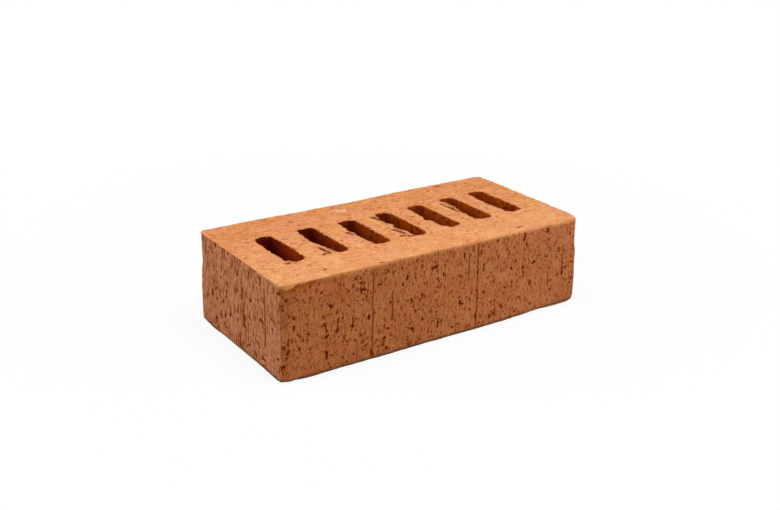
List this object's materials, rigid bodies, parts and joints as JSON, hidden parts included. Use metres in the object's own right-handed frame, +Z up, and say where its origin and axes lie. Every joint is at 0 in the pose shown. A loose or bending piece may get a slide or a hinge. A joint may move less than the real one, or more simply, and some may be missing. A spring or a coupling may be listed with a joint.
{
  "type": "clay brick",
  "caption": "Fired clay facing brick with rounded upright arrises and a row of round-cornered slots that run straight through from bed to bed; laid in mortar to build walls.",
  "frame": {"origin": "middle of the lower bed face", "axes": "+X along the length, from the wide slot spacing to the narrow one; +Y across, towards the back stretcher face; +Z up, from the lower to the upper bed face"},
  "size_m": [0.22, 0.105, 0.06],
  "materials": {
    "fired_clay": "matt, unglazed"
  },
  "bodies": {
    "root": {"brick": "fired_clay"}
  },
  "joints": []
}
